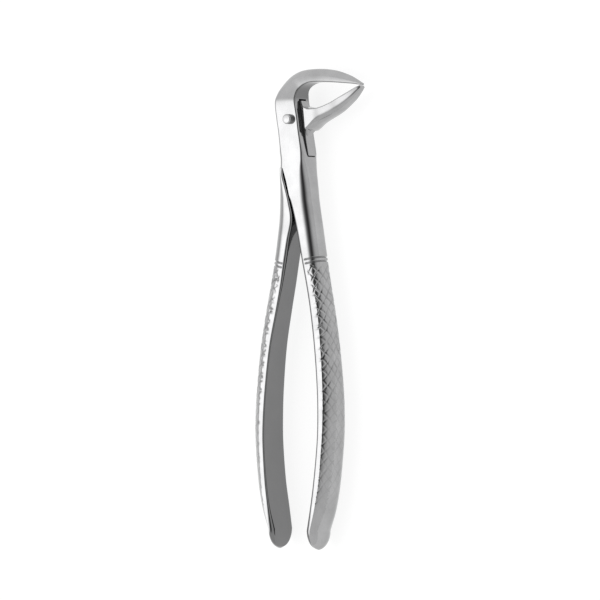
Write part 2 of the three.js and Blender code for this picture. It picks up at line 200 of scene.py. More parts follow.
LOWER_BEAK = [
    (0, 6.1, 4.1, 6.9, -4.1, 4.65, 0.6, 0.9, 0, 0),
    (2.5, 7.8, 3.65, 8.4, -3.4, 4.62, 0.5, 1.5, 0, 0.02),
    (5, 9.8, 3.6, 10.5, -2.15, 4.45, 0.4, 2.2, 0, 0.03),
    (8, 12.1, 3.9, 13.3, -0.8, 4.1, 0.4, 2.5, 0, 0.06),
    (12, 16.0, 5.3, 17.6, 1.15, 3.55, 0.4, 2.5, 0, 0.06),
    (15.5, 18.6, 6.65, 20.6, 2.85, 3.1, 0.4, 2.4, 0, 0.06),
    (20.5, 23.2, 9.0, 25.0, 6.2, 2.45, 0.4, 1.9, 0, 0.06),
    (24.5, 26.4, 10.7, 27.6, 9.1, 1.8, 0.3, 1.1, 0, 0.05),
    (26.5, 27.8, 11.28, 28.4, 10.4, 1.35, 0.2, 0.4, 0, 0.05),
]


def lerp(a, b, t):
    return a + (b - a) * t


def smoothstep(value):
    """A soft step that rises from 0 to 1 as the value does."""
    held = min(max(value, 0.0), 1.0)
    return held**2 * (3 - 2 * held)


def side_profile(rise, half, arc, roundness, count):
    """Outward and upward distances across one side, from its top edge down.

    Roundness 0 is a flat side whose edges are rounded to the rise, 1 is a side that bulges by it.
    Arc 1 makes the bulge halfway between a circle and a parabola, 0 makes it a softly round one.
    """
    radius = (half * half + rise * rise) / (2 * rise)
    sweep = math.asin(min(1.0, half / radius))
    t = np.linspace(1, -1, count)
    angle = t * math.pi / 2
    soft_out = rise * np.abs(np.cos(angle)) ** (2 / ROUND_POWER)
    soft_up = half * np.sign(t) * np.abs(np.sin(angle)) ** (2 / ROUND_POWER)
    circle = radius * np.cos(t * sweep) - radius + rise
    parabola = rise * (1 - np.sin(t * sweep) ** 2 / math.sin(sweep) ** 2)
    plain_out = lerp(circle, parabola, 0.5)
    plain_up = half * np.sin(t * sweep) / math.sin(sweep)
    bulge = np.column_stack([lerp(soft_out, plain_out, arc), lerp(soft_up, plain_up, arc)])
    turn = np.linspace(0, math.pi / 2, (count - FACE_POINTS) // 2)
    corner = np.column_stack([rise * np.sin(turn), half - rise + rise * np.cos(turn)])
    middle = np.linspace(half - rise, rise - half, FACE_POINTS + 2)[1:-1]
    face = np.column_stack([np.full(FACE_POINTS, rise), middle])
    flat = np.vstack([corner, face, corner[::-1] * (1, -1)])
    return lerp(flat, bulge, roundness)


def strip_points(start, end):
    """Points along a flat strip, close to both of its ends so that its edges stay crisp."""
    length = float(np.linalg.norm(end - start))
    near = min(STRIP_MARGIN, length / 4)
    shares = (near / length, 0.5, 1 - near / length) if length > 1e-6 else (0.25, 0.5, 0.75)
    return [lerp(start, end, share) for share in shares]


def section(row, convex_left):
    """One closed section of an arm.

    Gives its points, how far round the convex side each one lies, how much each belongs to that
    side, and how much to the side across from it.
    """
    _, left_x, left_y, right_x, right_y, half, left_rise, right_rise, arc, *fall = row
    width = math.hypot(right_x - left_x, right_y - left_y)
    # the side with the larger rise bulges, the other one is flat, and near equality both are
    lean = (right_rise - left_rise) / (right_rise + left_rise) / 0.25
    counts = (CONVEX_POINTS, PLAIN_POINTS) if convex_left else (PLAIN_POINTS, CONVEX_POINTS)
    left_side = side_profile(left_rise, half, arc, smoothstep(-lean), counts[0])
    right_side = side_profile(right_rise, half, arc, smoothstep(lean), counts[1])
    right = np.column_stack([width - right_rise + right_side[:, 0], right_side[:, 1]])
    left = np.column_stack([left_rise - left_side[:, 0], left_side[:, 1]])[::-1]
    low = strip_points(right[-1], left[0])
    high = strip_points(left[-1], right[0])
    flat = np.vstack([right, low, left, high])
    if fall:
        outward = flat[:, 0] / width
        if left_rise > right_rise:
            outward = 1 - outward
        flat[:, 1] *= 1 - fall[0] * np.clip(outward, 0, 1) ** CROWN_POWER
    across = np.array([(right_x - left_x) / width, (right_y - left_y) / width])
    points = np.empty((len(flat), 3))
    points[:, :2] = np.array([left_x, left_y]) + flat[:, :1] * across
    points[:, 2] = flat[:, 1]
    # arc length round the convex side, counted from its middle
    convex, first = (left, len(right) + len(low)) if convex_left else (right, 0)
    lengths = np.linalg.norm(np.diff(convex, axis=0), axis=1)
    steps = np.concatenate([[0], np.cumsum(lengths)])
    half_girth = steps[-1] / 2
    girth = np.full(len(flat), half_girth)
    share = np.zeros(len(flat))
    girth[first : first + len(convex)] = steps - half_girth
    share[first : first + len(convex)] = 1
    # the flat inner side, whose colour is darkened as painted shade between the arms
    inner = np.zeros(len(flat))
    if left_rise > right_rise:
        inner[: len(right)] = 1
    else:
        inner[len(right) + len(low) : len(right) + len(low) + len(left)] = 1
    # the three points of each strip run on from the convex side's two ends
    for block, sign in (((len(right), low), -1), ((len(flat) - 3, high), 1)):
        start, strip = block
        towards_left = sign < 0
        near_first = towards_left != convex_left
        edge = strip[0] if near_first else strip[-1]
        away = [float(np.linalg.norm(point - edge)) for point in strip]
        end_sign = (1 if towards_left else -1) * (-1 if convex_left else 1)
        for k in range(3):
            girth[start + k] = end_sign * (half_girth + STRIP_MARGIN + away[k])
            share[start + k] = max(0.0, EDGE_SHARE - away[k] / EDGE_FADE)
    return points, girth, share, inner


def slopes(rows):
    """The slope of every column at every station, from the stations beside it."""
    table = np.array(rows, float)
    before = np.vstack([table[:1], table[:-1]])
    after = np.vstack([table[1:], table[-1:]])
    return (after - before) / (after[:, :1] - before[:, :1])


def station(rows, gradients, at):
    """The section's values at a place between the stations, on a cubic through them."""
    places = [row[0] for row in rows]
    i = min(max(int(np.searchsorted(places, at, side="right")) - 1, 0), len(rows) - 2)
    a, b = np.array(rows[i], float), np.array(rows[i + 1], float)
    span = b[0] - a[0]
    t = (at - a[0]) / span
    value = (
        (2 * t**3 - 3 * t**2 + 1) * a
        + (t**3 - 2 * t**2 + t) * span * gradients[i]
        + (3 * t**2 - 2 * t**3) * b
        + (t**3 - t**2) * span * gradients[i + 1]
    )
    value[0] = at
    value[8] = min(max(value[8], 0.0), 1.0)
    return value


def stations(rows, steps):
    """Sections along rows: steps lists (end place, spacing) from the first row on."""
    gradients = slopes(rows)
    at = rows[0][0]
    made = [station(rows, gradients, at)]
    for end, spacing in steps:
        count = max(1, round((end - at) / spacing))
        made += [station(rows, gradients, lerp(at, end, k / count)) for k in range(1, count + 1)]
        at = end
    return made


def nose_stations(first, count=22):
    """The handle's full-round end: a quarter circle in side view that closes in towards the inner face."""
    _, left_x, left_y, right_x, right_y, half, left_rise, right_rise, _ = first
    inner_x, outer_x = (right_x, left_x) if left_rise > right_rise else (left_x, right_x)
    tip_x = lerp(inner_x, outer_x, NOSE_CLOSE)
    made = []
    for i in range(count, 0, -1):
        angle = (i / count) * math.radians(NOSE_TURN)
        shrink = math.cos(angle)
        pull = shrink**NOSE_POWER
        down = HANDLE_HALF * math.sin(angle)
        made.append(
            (
                NOSE_Y - down,
                lerp(tip_x, left_x, pull),
                left_y - down,
                lerp(tip_x, right_x, pull),
                right_y - down,
                half * shrink,
                left_rise * shrink,
                right_rise * shrink,
                1,
            )
        )
    return made


def inner_shade_share(row):
    """The share of the painted shade that an arm's inner face has at a station.

    A handle's inner face takes the painted shade over 10 mm below the joint, and a head's over 4 mm above it.
    """
    along = row[0]
    is_handle = len(row) == 9
    share = (-28 - along) / 10 if is_handle else (along - 5) / 4
    return min(max(share, 0), 1)


def loft(name, rows, material, inner_shade=1.0):
    """A closed mesh through sections, with what the grip and the steel need stored on its points.

    Nothing reaches past the solids' own box.
    """
    convex_left = rows[0][6] > rows[0][7]
    made = [section(row, convex_left) for row in rows]
    rings = np.array([points for points, *_ in made])
    total, count = rings.shape[:2]
    corners = rings.reshape(-1, 3) * MM
    corners[:, 2] += MID
    corners = np.clip(corners, CAD_BOX[0], CAD_BOX[1])
    first = np.arange(count)
    second = np.roll(first, -1)
    faces = [
        quad
        for s in range(total - 1)
        for quad in np.column_stack(
            [s * count + first, s * count + second, (s + 1) * count + second, (s + 1) * count + first]
        ).tolist()
    ]
    faces.append(list(range(count - 1, -1, -1)))
    faces.append(list(range((total - 1) * count, total * count)))
    mesh = bpy.data.meshes.new(name)
    mesh.from_pydata(corners.tolist(), [], faces)
    stored = {
        "along": [np.full(count, row[0]) for row in rows],
        "girth": [girth for _, girth, _, _ in made],
        "convex": [share for _, _, share, _ in made],
        # how much each point's colour takes the painted shade of the inner faces between the arms
        "inner": [ring[3] * inner_shade * inner_shade_share(row) for ring, row in zip(made, rows)],
    }
    for key, values in stored.items():
        layer = mesh.attributes.new(key, "FLOAT", "POINT")
        layer.data.foreach_set("value", np.concatenate(values).astype(np.float32))
    return place(name, mesh, material)


def place(name, mesh, material):
    """A new object in the scene from a mesh, with one material."""
    mesh.materials.clear()
    mesh.materials.append(material)
    mesh.update()
    made = bpy.data.objects.new(name, mesh)
    bpy.context.scene.collection.objects.link(made)
    return made


def stack(name, levels, material):
    """A closed solid through outlines of equal length, each at its own height."""
    count = len(levels[0][0])
    points = [(x * MM, y * MM, MID + z * MM) for outline, z in levels for x, y in outline]
    faces = []
    for level in range(len(levels) - 1):
        for i in range(count):
            a, b = level * count + i, level * count + (i + 1) % count
            faces.append((a, b, b + count, a + count))
    faces.append(tuple(range(count - 1, -1, -1)))
    faces.append(tuple(range((len(levels) - 1) * count, len(levels) * count)))
    mesh = bpy.data.meshes.new(name)
    mesh.from_pydata(points, [], faces)
    return place(name, mesh, material)


def arc_points(radius, start, end, count):
    """Points on a circle about the pivot between two bearings given as x y."""
    a, b = math.atan2(start[1], start[0]), math.atan2(end[1], end[0])
    if b < a:
        b += 2 * math.pi
    return [
        (radius * math.cos(lerp(a, b, k / count)), radius * math.sin(lerp(a, b, k / count)))
        for k in range(count + 1)
    ]


def height_at(radius, x):
    return math.sqrt(radius * radius - x * x)


def disc(name, radius, half, material, segments=ROUND_SIDES):
    outline = [
        (radius * math.cos(2 * math.pi * k / segments), radius * math.sin(2 * math.pi * k / segments))
        for k in range(segments)
    ]
    return stack(name, [(outline, -half), (outline, half)], material)


def slot_outline():
    """The slot that runs through the box arm, open on both of its sides."""
    top_right = (2.0, height_at(SLOT_TOP_R, 2.0))
    top_left = (-height_at(SLOT_TOP_R, 4.75), 4.75)
    foot_right = (6.0, -height_at(SLOT_FOOT_R, 6.0))
    foot_left = (-1.0, -height_at(SLOT_FOOT_R, 1.0))
    return [
        (CUTTER_REACH, top_right[1]),
        *arc_points(SLOT_TOP_R, top_right, top_left, 40),
        (-CUTTER_REACH, top_left[1]),
        (-CUTTER_REACH, -20),
        (-3.3, -20),
        *arc_points(SLOT_FOOT_R, foot_left, foot_right, 24),
        (CUTTER_REACH, foot_right[1]),
    ]


def tongue_outline():
    """The tongue, whose ends follow the slot's end walls with a running gap."""
    top_r, foot_r = SLOT_TOP_R - SLIDE_GAP, SLOT_FOOT_R - SLIDE_GAP
    top_right = (1.8, height_at(top_r, 1.8))
    top_left = (-5.3, height_at(top_r, 5.3))
    foot_right = (6.0, -height_at(foot_r, 6.0))
    foot_left = (-1.2, -height_at(foot_r, 1.2))
    return [
        (8.2, 3.4),
        (6.4, 3.75),
        (4.9, 4.3),
        (4.4, 4.75),
        (4.1, 5.3),
        (3.6, 6.5),
        *arc_points(top_r, top_right, top_left, 40),
        (-5.0, -4),
        (-4.4, -12),
        (-4.3, -19.6),
        (-3.6, -19.6),
        *arc_points(foot_r, foot_left, foot_right, 24),
        (6.75, foot_right[1] + 0.15),
        (6.35, -10.4),
        (5.85, -8.0),
        (5.6, -6.4),
        (5.6, -4.8),
        (6.1, -3.5),
        (7.0, -2.6),
        (8.2, -2.4),
    ]


def chamfered(outline, half, edge):
    """An outline's two flat faces drawn in by a small chamfer."""
    centre = np.array(outline)
    nearer = np.roll(centre, 1, axis=0) - centre
    further = np.roll(centre, -1, axis=0) - centre
    nearer /= np.linalg.norm(nearer, axis=1)[:, None]
    further /= np.linalg.norm(further, axis=1)[:, None]
    normal = np.column_stack([-(further - nearer)[:, 1], (further - nearer)[:, 0]])
    normal /= np.linalg.norm(normal, axis=1)[:, None]
    inset = [tuple(p) for p in centre + normal * edge]
    return [(inset, -half), (outline, edge - half), (outline, half - edge), (inset, half)]


def shank_space_outline():
    """The room beside the box arm for the tongue arm's full-width shank."""
    reach = 14
    corner = (-2.75, -height_at(LEDGE_R, 2.75))
    return [
        (-reach, -28.6),
        (0.45, -28.6),
        (-0.45, -25),
        (-1.35, -21.5),
        (-2.45, -18.2),
        *reversed(arc_points(LEDGE_R, (-reach, -height_at(LEDGE_R, reach)), corner, 32)),
    ]


def combine(target, tool, operation):
    """Joins or cuts one closed solid with another and drops the tool."""
    modifier = target.modifiers.new("combine", "BOOLEAN")
    modifier.operation = operation
    modifier.solver = "EXACT"
    modifier.use_self = False
    modifier.material_mode = "TRANSFER"
    modifier.object = tool
    bake(target)
    bpy.data.objects.remove(tool)
    return target


def bake(target):
    """Turns an object's modifiers into its plain mesh."""
    bpy.context.view_layer.update()
    graph = bpy.context.evaluated_depsgraph_get()
    mesh = bpy.data.meshes.new_from_object(target.evaluated_get(graph))
    old = target.data
    mesh.name = old.name
    target.modifiers.clear()
    target.data = mesh
    bpy.data.meshes.remove(old)
    return target


def paint_flats(target, half, material):
    """Gives a material to the faces that lie flat, this far either side of the middle plane."""
    target.data.materials.append(material)
    index = len(target.data.materials) - 1
    for face in target.data.polygons:
        if abs(face.normal.z) > 0.99 and abs(abs(face.center.z - MID) - half) < 0.02 * MM:
            face.material_index = index


def clear_marks(target, keys, above):
    """Zeroes stored values on the points beyond a place along the arm, where a join has mixed them up."""
    mesh = target.data
    for key in keys:
        for point, mark in zip(mesh.vertices, mesh.attributes[key].data):
            if point.co.y > above * MM:
                mark.value = 0.0


def smooth(target, degrees):
    """Soft shading with real creases kept."""
    mesh = target.data
    mesh.polygons.foreach_set("use_smooth", np.ones(len(mesh.polygons), bool))
    mesh.set_sharp_from_angle(angle=math.radians(degrees))
    mesh.update()


# ---------------------------------------------------------------- materials


class Nodes:
    """Short calls for wiring a node tree."""

    def __init__(self, tree):
        self.tree = tree
        self.column = 0

    def add(self, kind, settings=None, **inputs):
        node = self.tree.nodes.new(kind)
        self.column += 1
        node.location = (180 * self.column, -40 * (self.column % 5))
        for key, value in (settings or {}).items():
            setattr(node, key, value)
        for key, value in inputs.items():
            self.put(node, key.replace("_", " "), value)
        return node

    def put(self, node, key, value):
        socket = node.inputs[int(key[1:])] if key[0] == "i" and key[1:].isdigit() else node.inputs[key]
        if isinstance(value, bpy.types.NodeSocket):
            self.tree.links.new(value, socket)
        else:
            socket.default_value = value

    def math(self, operation, a, b=0.0, clamp=False):
        return self.add("ShaderNodeMath", {"operation": operation, "use_clamp": clamp}, i0=a, i1=b).outputs[0]

    def ramp(self, value, low, high, to_low=0.0, to_high=1.0):
        """A soft step from to_low at low to to_high at high."""
        settings = {"interpolation_type": "SMOOTHSTEP"}
        step = self.add("ShaderNodeMapRange", settings, i0=value, i1=low, i2=high, i3=to_low, i4=to_high)
        return step.outputs[0]

    def noise(self, vector, scale, detail, roughness=0.5, moment=None):
        """Soft noise, which also changes with the moment where one is given."""
        settings = {} if moment is None else {"noise_dimensions": "4D"}
        made = self.add("ShaderNodeTexNoise", settings, Vector=vector, Scale=scale, Detail=detail)
        self.put(made, "Roughness", roughness)
        if moment is not None:
            self.put(made, "W", moment)
        return made.outputs[0]

    def blend(self, share, low, high):
        """A value from low to high."""
        return self.add("ShaderNodeMix", {"data_type": "FLOAT"}, i0=share, i2=low, i3=high).outputs[0]

    def tint(self, share, low, high):
        """A colour from low, which may come from another node, to high."""
        made = self.add("ShaderNodeMix", {"data_type": "RGBA"}, i0=share, i6=low, i7=high)
        return made.outputs[2]


def steel(name, colour, rough, grain, scratch, relief):
    """Ground steel: a cloudy tone, fine scratches along the arm and a roughness that follows them.

    Cut grooves and the arms' inner faces are darker, by the values stored on the mesh: painted shade in the
    grooves and between the arms.
    """
    made = bpy.data.materials.new(name)
    made.use_nodes = True
    tree = made.node_tree
    tree.nodes.clear()
    n = Nodes(tree)
    place_of = n.add("ShaderNodeTexCoord").outputs["Object"]
    long_grain = n.add("ShaderNodeMapping", i0=place_of, i3=(grain, grain * 0.035, grain)).outputs[0]
    scratches = n.noise(long_grain, 1.0, 6.0, 0.65)
    cloud = n.noise(place_of, 140.0, 4.0, 0.55)
    speck = n.noise(place_of, 5200.0, 2.0)
    tone = n.math("ADD", n.math("MULTIPLY", cloud, 0.6), n.math("MULTIPLY", speck, 0.4))

    def shade(share):
        return (*[min(1.0, channel * share) for channel in colour], 1)

    base = n.tint(n.ramp(tone, 0.3, 0.7), shade(0.9), shade(1.08))
    # painted shade: the grooves' colour darkens towards 0.45 of the steel by the stored cut share
    groove = n.add("ShaderNodeAttribute", {"attribute_name": "cut"}).outputs["Fac"]
    groove_shaded = n.tint(n.math("MULTIPLY", groove, 0.6), base, shade(0.45))
    # painted shade: the inner faces darken towards 0.4 of the steel colour by the stored inner share
    inner = n.add("ShaderNodeAttribute", {"attribute_name": "inner"}).outputs["Fac"]
    inner_shaded = n.tint(n.math("MULTIPLY", inner, 0.82), groove_shaded, shade(0.4))
    wear = n.math("ADD", n.math("MULTIPLY", scratches, 0.6), n.math("MULTIPLY", speck, 0.4))
    roughness = n.ramp(wear, 0.3, 0.7, rough * 0.8, rough * 1.25)
    height = n.math("ADD", n.math("MULTIPLY", scratches, scratch), n.math("MULTIPLY", speck, 0.35))
    bump = n.add("ShaderNodeBump", Strength=relief, Distance=0.00005, Height=height)
    shader = n.add("ShaderNodeBsdfPrincipled", Base_Color=inner_shaded, Metallic=1.0, Roughness=roughness)
    n.put(shader, "Normal", bump.outputs[0])
    n.add("ShaderNodeOutputMaterial", Surface=shader.outputs[0])
    return made


def grip_tree():
    """Geometry nodes that cut the crossed grooves of the grip and the two grooves round the arm."""
    tree = bpy.data.node_groups.new("Hatched grip", "GeometryNodeTree")
    face = tree.interface
    face.new_socket("Geometry", in_out="OUTPUT", socket_type="NodeSocketGeometry")
    face.new_socket("Geometry", in_out="INPUT", socket_type="NodeSocketGeometry")
    for label, value in (
        ("Spacing", 2.4),
        ("Slant", 0.68),
        ("Groove Depth", 0.2),
        ("Groove Width", 0.8),
        ("Wander", 0.5),
        ("Upper Ring", -49.4),
        ("Lower Ring", -50.8),
        ("Ring Depth", 0.4),
        ("Ring Width", 0.9),
        ("Seed", 0.0),
    ):
        face.new_socket(label, in_out="INPUT", socket_type="NodeSocketFloat").default_value = value
    face.new_socket("Finish", in_out="INPUT", socket_type="NodeSocketMaterial")
    n = Nodes(tree)
    given = n.add("NodeGroupInput").outputs

    def stored(key):
        node = n.add("GeometryNodeInputNamedAttribute", {"data_type": "FLOAT"})
        node.inputs["Name"].default_value = key
        return node.outputs["Attribute"]

    along, girth, convex = stored("along"), stored("girth"), stored("convex")
    spot = n.add("ShaderNodeCombineXYZ", X=along, Y=girth).outputs[0]
    drift = n.noise(spot, 0.11, 1.0, moment=given["Seed"])
    sway = n.math("MULTIPLY", n.math("SUBTRACT", drift, 0.5), given["Wander"])
    pressure = n.noise(spot, 0.3, 1.0, moment=n.math("ADD", given["Seed"], 7.0))
    lean, rise = n.math("SINE", given["Slant"]), n.math("COSINE", given["Slant"])
    half_groove = n.math("MULTIPLY", given["Groove Width"], 0.5)
    half_ring = n.math("MULTIPLY", given["Ring Width"], 0.5)
    # two families of V grooves, mirrored, each 1 on its centre lines and 0 at the groove's edges
    cuts = []
    for sign, shift in ((1.0, 0.0), (-1.0, 0.37)):
        sideways = n.math("MULTIPLY", n.math("MULTIPLY", girth, sign), rise)
        across = n.math("ADD", n.math("MULTIPLY", along, lean), sideways)
        strayed = n.math("ADD", across, n.math("MULTIPLY", sway, sign * 4.0))
        turns = n.math("ADD", n.math("DIVIDE", strayed, given["Spacing"]), shift)
        off = n.math("ABSOLUTE", n.math("SUBTRACT", n.math("FRACT", turns), 0.5))
        reach = n.math("DIVIDE", n.math("MULTIPLY", off, given["Spacing"]), half_groove)
        cuts.append(n.math("SUBTRACT", 1.0, reach, clamp=True))
    cut = n.math("MAXIMUM", cuts[0], cuts[1])
    # full depth under the ring, fainter down the handle, none on its rounded end
    top = n.math("SUBTRACT", given["Lower Ring"], n.math("MULTIPLY", given["Ring Width"], 0.6))
    below_ring = n.ramp(n.math("SUBTRACT", top, along), 0.0, 1.2)
    upper = n.ramp(along, -110.0, -74.0, 0.38, 1.0)
    lower = n.ramp(along, -145.0, -124.0)
    strength = n.math("MULTIPLY", n.math("MULTIPLY", below_ring, upper), lower)
    strength = n.math("MULTIPLY", strength, n.ramp(pressure, 0.3, 0.7, 0.3, 1.3))
    hatch = n.math("MULTIPLY", n.math("MULTIPLY", cut, strength), given["Groove Depth"])
    rings = []
    for label in ("Upper Ring", "Lower Ring"):
        off = n.math("ABSOLUTE", n.math("SUBTRACT", along, given[label]))
        rings.append(n.math("SUBTRACT", 1.0, n.math("DIVIDE", off, half_ring), clamp=True))
    ring = n.ramp(n.math("MAXIMUM", rings[0], rings[1]), 0.0, 1.0)
    depth = n.math("ADD", hatch, n.math("MULTIPLY", ring, given["Ring Depth"]))
    depth = n.math("MULTIPLY", n.math("MULTIPLY", depth, convex), -MM)
    normal = n.add("GeometryNodeInputNormal").outputs[0]
    offset = n.add("ShaderNodeVectorMath", {"operation": "SCALE"}, i0=normal, Scale=depth).outputs[0]
    moved = n.add("GeometryNodeSetPosition", Geometry=given["Geometry"], Offset=offset).outputs[0]
    # the cut share is stored as 'cut' for the steel's painted shade in the grooves
    held = n.add("GeometryNodeStoreNamedAttribute", {"data_type": "FLOAT", "domain": "POINT"}, Geometry=moved)
    held.inputs["Name"].default_value = "cut"
    tree.links.new(n.math("MULTIPLY", n.math("MULTIPLY", cut, strength), convex), held.inputs["Value"])
    real = n.add("GeometryNodeRealizeInstances", Geometry=held.outputs[0]).outputs[0]
    done = n.add("GeometryNodeSetMaterial", Geometry=real, Material=given["Finish"]).outputs[0]
    n.add("NodeGroupOutput", Geometry=done)
    return tree


def cut_grip(target, grip, ring, seed, bite, material):
    """Runs the grip's tree on one arm and keeps its result as a plain mesh.

    The bite makes the crossed grooves deeper and wider.
    """
    tree = bpy.data.node_groups.get("Hatched grip") or grip_tree()
    modifier = target.modifiers.new("grip", "NODES")
    modifier.node_group = tree
    values = {
        "Spacing": grip.spacing / MM,
        "Slant": grip.slant,
        "Groove Depth": grip.depth / MM * bite,
        "Groove Width": grip.width / MM * bite,
        "Wander": grip.wander,
        "Upper Ring": ring,
        "Lower Ring": ring - RING_GAP,
        "Ring Depth": grip.ring_depth / MM,
        "Ring Width": grip.ring_width / MM,
        "Seed": float(seed),
        "Finish": material,
    }
    for item in tree.interface.items_tree:
        if item.in_out == "INPUT" and item.name in values:
            modifier[item.identifier] = values[item.name]
    return bake(target)


def finish_piece(target, body, node):
    """Ties a piece to the body it moves with and hides the solid it stands for."""
    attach(target, body)
    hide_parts(node)


# ---------------------------------------------------------------- settings


class ForcepsGrip(bpy.types.PropertyGroup):
    spacing: FloatProperty(
        name="Spacing",
        description="Distance between two grooves of one family",
        default=0.0024,
        min=0.0008,
        unit="LENGTH",
    )
    slant: FloatProperty(
        name="Slant",
        description="Angle between the grooves and the handle's length",
        default=math.radians(39),
        subtype="ANGLE",
    )
    depth: FloatProperty(
        name="Depth",
        description="Depth of the crossed grooves",
        default=0.0002,
        min=0.0,
        unit="LENGTH",
    )
    width: FloatProperty(
        name="Width",
        description="Width of the crossed grooves",
        default=0.0008,
        min=0.0002,
        unit="LENGTH",
    )
    wander: FloatProperty(
        name="Wander",
        description="How far the grooves stray from straight lines",
        default=1.0,
        min=0.0,
    )
    ring_depth: FloatProperty(
        name="Ring depth",
        description="Depth of the two grooves round each arm",
        default=0.0004,
        min=0.0,
        unit="LENGTH",
    )
    ring_width: FloatProperty(
        name="Ring width",
        description="Width of the two grooves round each arm",
        default=0.0009,
        min=0.0002,
        unit="LENGTH",
    )
    seed: IntProperty(
        name="Seed",
        description="Fixes where the grooves stray",
        default=3,
    )


class ForcepsFinish(bpy.types.PropertyGroup):
    steel_colour: FloatVectorProperty(
        name="Steel",
        description="Colour of the arms",
        subtype="COLOR",
        size=3,
        min=0.0,
        max=1.0,
        default=(0.385, 0.385, 0.388),
    )
    # painted shade: this dark colour of the joint's inner faces stands for the shade in them
    recess_shade_colour: FloatVectorProperty(
        name="Recess",
        description="Colour of the sliding faces in the joint",
        subtype="COLOR",
        size=3,
        min=0.0,
        max=1.0,
        default=(0.14, 0.14, 0.141),
    )
    rivet_colour: FloatVectorProperty(
        name="Rivet",
        description="Colour of the rivet",
        subtype="COLOR",
        size=3,
        min=0.0,
        max=1.0,
        default=(0.42, 0.42, 0.423),
    )
    roughness: FloatProperty(
        name="Roughness",
        description="Roughness of the satin steel",
        default=0.075,
        min=0.02,
        max=1.0,
        subtype="FACTOR",
    )
    rivet_edge: FloatProperty(
        name="Rivet edge",
        description="Rounding of the rivet's two ends",
        default=0.0005,
        min=0.0,
        unit="LENGTH",
    )


class ForcepsStage(bpy.types.PropertyGroup):
    tilt: FloatProperty(
        name="Tilt",
        description="Angle of the camera from straight above",
        default=math.radians(35),
        subtype="ANGLE",
    )
    distance: FloatProperty(
        name="Distance",
        description="Distance of the camera",
        default=1.3,
        min=0.2,
        unit="LENGTH",
    )
    width: FloatProperty(
        name="View width",
        description="Width of the view at the forceps",
        default=0.2128,
        min=0.05,
        unit="LENGTH",
    )
    softbox: FloatProperty(
        name="Softbox",
        description="Brightness of the large soft light",
        default=2.5,
        min=0.0,
    )
    room: FloatProperty(
        name="Room",
        description="Brightness of the plain room around",
        default=0.95,
        min=0.0,
    )
    floor_glow: FloatProperty(
        name="Floor glow",
        description="Light that the floor gives off",
        default=0.84,
        min=0.0,
    )
    floor_colour: FloatVectorProperty(
        name="Floor",
        description="Colour of the floor",
        subtype="COLOR",
        size=3,
        min=0.0,
        max=1.0,
        default=(0.22, 0.22, 0.22),
    )


def shared_steel(finish):
    found = bpy.data.materials.get("satin_steel")
    return found or steel("satin_steel", tuple(finish.steel_colour), finish.roughness, 900.0, 0.5, 0.07)


# painted shade: a dark steel for the faces inside the joint, standing for the shade in the slot, the bores
# and the room beside the shank
def shared_recess_shade(finish):
    found = bpy.data.materials.get("recess_shade_steel")
    return found or steel("recess_shade_steel", tuple(finish.recess_shade_colour), 0.34, 1400.0, 0.8, 0.2)


# ---------------------------------------------------------------- operators


class FORCEPS_OT_box_arm(bpy.types.Operator):
    """Build the arm with the slotted cheeks, the upper beak and the right handle"""

    bl_idname = "forceps.box_arm"
    bl_label = "Box arm"

    def execute(self, context):
        finish, grip = context.scene.forceps_finish, context.scene.forceps_grip
        satin, joint_shade = shared_steel(finish), shared_recess_shade(finish)
        handle = stations(BOX_HANDLE, [(-52.4, 0.2), (-48.2, 0.1), (-8, 0.55)])
        head = stations(BOX_HEAD, [(9.5, 0.5), (47, 0.35)])
        arm = loft("box_arm_steel", [*nose_stations(handle[0]), *handle, *head[1:]], satin)
        cut_grip(arm, grip, BOX_RING, grip.seed, 1.0, satin)
        # the cutters leave their walls in the dark recess steel, as painted shade in the joint
        through = slot_outline()
        slot = stack("slot", [(through, -SLOT_HALF), (through, SLOT_HALF)], joint_shade)
        combine(arm, slot, "DIFFERENCE")
        beside = shank_space_outline()
        space = stack("shank_space", [(beside, -CUTTER_HALF), (beside, CUTTER_HALF)], joint_shade)
        combine(arm, space, "DIFFERENCE")
        combine(arm, disc("bore", RIVET_R + BORE_GAP, CUTTER_HALF, joint_shade), "DIFFERENCE")
        clear_marks(arm, ("cut",), BOX_RING + 4)
        smooth(arm, ARM_CREASE)
        finish_piece(arm, "box_arm", "box_arm")
        return {"FINISHED"}


